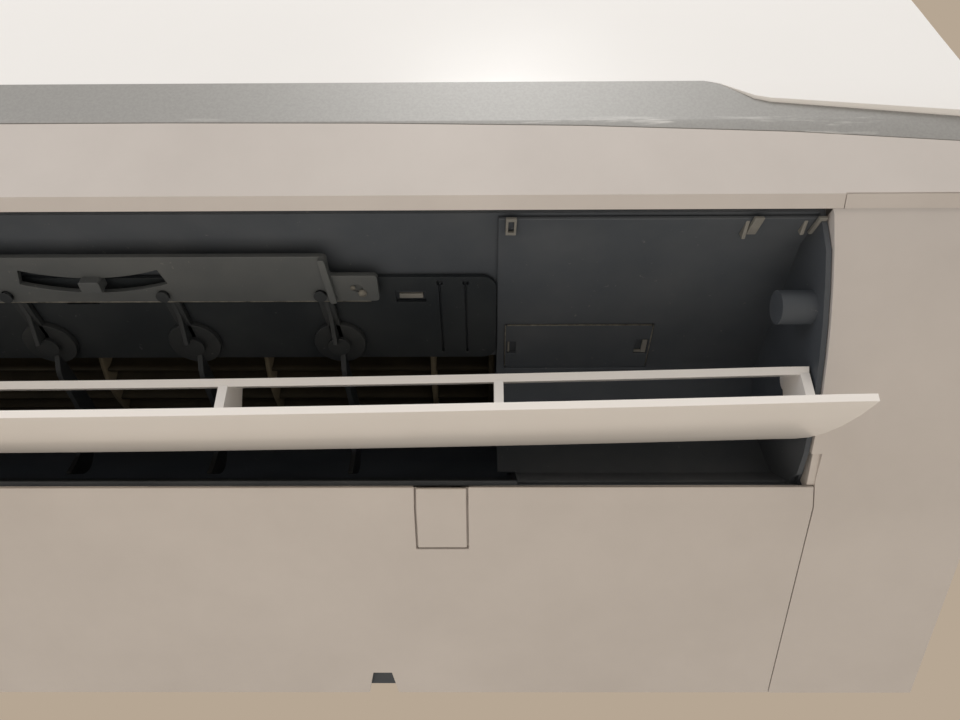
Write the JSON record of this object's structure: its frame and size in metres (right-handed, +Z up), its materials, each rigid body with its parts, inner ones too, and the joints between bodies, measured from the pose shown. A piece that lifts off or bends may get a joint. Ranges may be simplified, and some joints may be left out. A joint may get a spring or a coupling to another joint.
{
  "type": "mini split indoor unit",
  "caption": "Wall-mounted mini split indoor unit with a hinged front panel, a swinging louver, linked vertical vanes and a cross-flow fan",
  "frame": {"origin": "centre of the wall mounting plate's back face", "axes": "+X along the unit to the right seen from the room, +Y into the wall, +Z up"},
  "size_m": [0.8, 0.1976, 0.2895],
  "materials": {
    "casing_white": "fine satin moulding",
    "panel_gloss": "high gloss",
    "louver_white": "gloss",
    "trim_silver": "satin silver paint",
    "duct_grey": "matt",
    "vane_grey": "satin",
    "fan_black": "matt",
    "bearing_rubber": "matt",
    "plate_steel": "galvanised",
    "coil_aluminium": "finned",
    "pipe_copper": "drawn",
    "filter_mesh": "fine mesh",
    "board_green": "coated"
  },
  "bodies": {
    "housing": {"mounting_plate": "plate_steel", "underside_panel": "casing_white", "end_cover_right": "casing_white", "end_cover_left": "casing_white", "front_casing": "casing_white", "trim_strip": "trim_silver", "intake_grille": "casing_white", "casing_screw_left": "plate_steel", "casing_screw_middle": "plate_steel", "casing_screw_right": "plate_steel", "rear_chassis": "duct_grey", "outlet_duct": "duct_grey", "dummy_plate": "duct_grey", "access_cover": "duct_grey", "bulkhead": "duct_grey", "fan_bearing": "bearing_rubber", "fan_motor": "plate_steel", "motor_clamp": "casing_white", "coil_front": "coil_aluminium", "coil_rear": "coil_aluminium", "return_bends_right": "pipe_copper", "return_bends_left": "pipe_copper", "air_filter_right": "filter_mesh", "air_filter_left": "filter_mesh", "filter_rail_left": "casing_white", "filter_rail_middle": "casing_white", "filter_rail_right": "casing_white", "drip_tray": "duct_grey", "gas_pipe": "pipe_copper", "liquid_pipe": "pipe_copper", "electrics_box": "casing_white", "electrics_cover": "plate_steel", "control_board": "board_green", "terminal_block": "casing_white", "capacitor": "fan_black", "louver_motor": "duct_grey", "vane_base_right": "vane_grey", "vane_base_left": "vane_grey"},
    "front_panel": {"front_panel": "panel_gloss"},
    "louver": {"louver": "louver_white"},
    "fan": {"crossflow_fan": "fan_black", "motor_shaft": "plate_steel"},
    "cap_left": {"screw_cap_left": "casing_white"},
    "cap_middle": {"screw_cap_middle": "casing_white"},
    "cap_right": {"screw_cap_right": "casing_white"},
    "vane_right_1": {"vane_right_1": "vane_grey"},
    "vane_right_2": {"vane_right_2": "vane_grey"},
    "vane_right_3": {"vane_right_3": "vane_grey"},
    "vane_right_4": {"vane_right_4": "vane_grey"},
    "vane_right_5": {"vane_right_5": "vane_grey"},
    "vane_left_1": {"vane_left_1": "vane_grey"},
    "vane_left_2": {"vane_left_2": "vane_grey"},
    "vane_left_3": {"vane_left_3": "vane_grey"},
    "vane_left_4": {"vane_left_4": "vane_grey"},
    "vane_left_5": {"vane_left_5": "vane_grey"},
    "link_right": {"vane_link_right": "vane_grey"},
    "link_left": {"vane_link_left": "vane_grey"}
  },
  "joints": [
    {"name": "panel_hinge", "type": "hinge", "parent": "housing", "child": "front_panel", "pos_m": [0, -0.18, 0.122], "axis": [-1, 0, 0], "range_deg": [0, 65]},
    {"name": "louver_hinge", "type": "hinge", "parent": "housing", "child": "louver", "pos_m": [0, -0.1119, -0.0931], "axis": [1, 0, 0], "range_deg": [-65.5, 8]},
    {"name": "fan_shaft", "type": "hinge", "parent": "housing", "child": "fan", "pos_m": [0, -0.075, -0.0175], "axis": [1, 0, 0], "continuous": true},
    {"name": "cap_left_flap", "type": "hinge", "parent": "housing", "child": "cap_left", "pos_m": [-0.2203, -0.0695, -0.13308], "axis": [1, 0, 0], "range_deg": [0, 75]},
    {"name": "cap_middle_flap", "type": "hinge", "parent": "housing", "child": "cap_middle", "pos_m": [0, -0.0695, -0.13308], "axis": [1, 0, 0], "range_deg": [0, 75]},
    {"name": "cap_right_flap", "type": "hinge", "parent": "housing", "child": "cap_right", "pos_m": [0.2203, -0.0695, -0.13308], "axis": [1, 0, 0], "range_deg": [0, 75]},
    {"name": "vane_right_1_pivot", "type": "hinge", "parent": "housing", "child": "vane_right_1", "pos_m": [0.1816, -0.1078, -0.0683], "axis": [0, 0, 1], "range_deg": [-24, 36]},
    {"name": "vane_right_2_pivot", "type": "hinge", "parent": "housing", "child": "vane_right_2", "pos_m": [0.1276, -0.1078, -0.0683], "axis": [0, 0, 1], "range_deg": [-24, 36]},
    {"name": "vane_right_3_pivot", "type": "hinge", "parent": "housing", "child": "vane_right_3", "pos_m": [0.0736, -0.1078, -0.0683], "axis": [0, 0, 1], "range_deg": [-24, 36]},
    {"name": "vane_right_4_pivot", "type": "hinge", "parent": "housing", "child": "vane_right_4", "pos_m": [0.0196, -0.1078, -0.0683], "axis": [0, 0, 1], "range_deg": [-24, 36]},
    {"name": "vane_right_5_pivot", "type": "hinge", "parent": "housing", "child": "vane_right_5", "pos_m": [-0.0344, -0.1078, -0.0683], "axis": [0, 0, 1], "range_deg": [-24, 36]},
    {"name": "link_right_pin", "type": "hinge", "parent": "vane_right_1", "child": "link_right", "pos_m": [0.17891, -0.13336, -0.0716], "axis": [0, 0, 1], "range_deg": [-36, 24]},
    {"name": "vane_left_1_pivot", "type": "hinge", "parent": "housing", "child": "vane_left_1", "pos_m": [-0.0884, -0.1078, -0.0683], "axis": [0, 0, 1], "range_deg": [-24, 36]},
    {"name": "vane_left_2_pivot", "type": "hinge", "parent": "housing", "child": "vane_left_2", "pos_m": [-0.1424, -0.1078, -0.0683], "axis": [0, 0, 1], "range_deg": [-24, 36]},
    {"name": "vane_left_3_pivot", "type": "hinge", "parent": "housing", "child": "vane_left_3", "pos_m": [-0.1964, -0.1078, -0.0683], "axis": [0, 0, 1], "range_deg": [-24, 36]},
    {"name": "vane_left_4_pivot", "type": "hinge", "parent": "housing", "child": "vane_left_4", "pos_m": [-0.2504, -0.1078, -0.0683], "axis": [0, 0, 1], "range_deg": [-24, 36]},
    {"name": "vane_left_5_pivot", "type": "hinge", "parent": "housing", "child": "vane_left_5", "pos_m": [-0.3044, -0.1078, -0.0683], "axis": [0, 0, 1], "range_deg": [-24, 36]},
    {"name": "link_left_pin", "type": "hinge", "parent": "vane_left_1", "child": "link_left", "pos_m": [-0.09109, -0.13336, -0.0716], "axis": [0, 0, 1], "range_deg": [-36, 24]}
  ],
  "couplings": [
    {"joint": "vane_right_2_pivot", "follows": "vane_right_1_pivot", "ratio": 1},
    {"joint": "vane_right_3_pivot", "follows": "vane_right_1_pivot", "ratio": 1},
    {"joint": "vane_right_4_pivot", "follows": "vane_right_1_pivot", "ratio": 1},
    {"joint": "vane_right_5_pivot", "follows": "vane_right_1_pivot", "ratio": 1},
    {"joint": "link_right_pin", "follows": "vane_right_1_pivot", "ratio": -1},
    {"joint": "vane_left_2_pivot", "follows": "vane_left_1_pivot", "ratio": 1},
    {"joint": "vane_left_3_pivot", "follows": "vane_left_1_pivot", "ratio": 1},
    {"joint": "vane_left_4_pivot", "follows": "vane_left_1_pivot", "ratio": 1},
    {"joint": "vane_left_5_pivot", "follows": "vane_left_1_pivot", "ratio": 1},
    {"joint": "link_left_pin", "follows": "vane_left_1_pivot", "ratio": -1}
  ]
}
